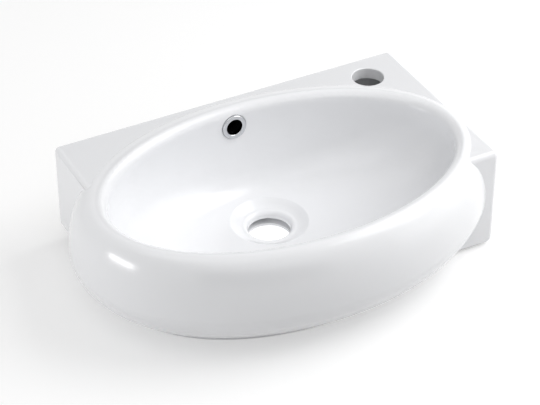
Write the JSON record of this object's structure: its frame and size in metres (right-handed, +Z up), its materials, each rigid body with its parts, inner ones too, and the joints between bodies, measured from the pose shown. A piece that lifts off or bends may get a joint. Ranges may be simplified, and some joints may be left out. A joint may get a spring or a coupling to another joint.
{
  "type": "ceramic wash basin",
  "caption": "Wall-hung cloakroom wash basin: swelling oval bowl on a rectangular tap ledge, with tap hole, waste hole and ringed overflow.",
  "frame": {"origin": "on the wall face, midway between the two wall fixings", "axes": "+X along the wall to the right as seen from the front, +Y into the wall, +Z up"},
  "size_m": [0.4631, 0.3081, 0.124],
  "materials": {
    "glaze": "gloss white glaze",
    "chrome": "bright chrome plate",
    "black_plastic": "satin black"
  },
  "bodies": {
    "root": {"basin_body": "glaze", "overflow_ring": "chrome", "overflow_sleeve": "black_plastic"}
  },
  "joints": []
}
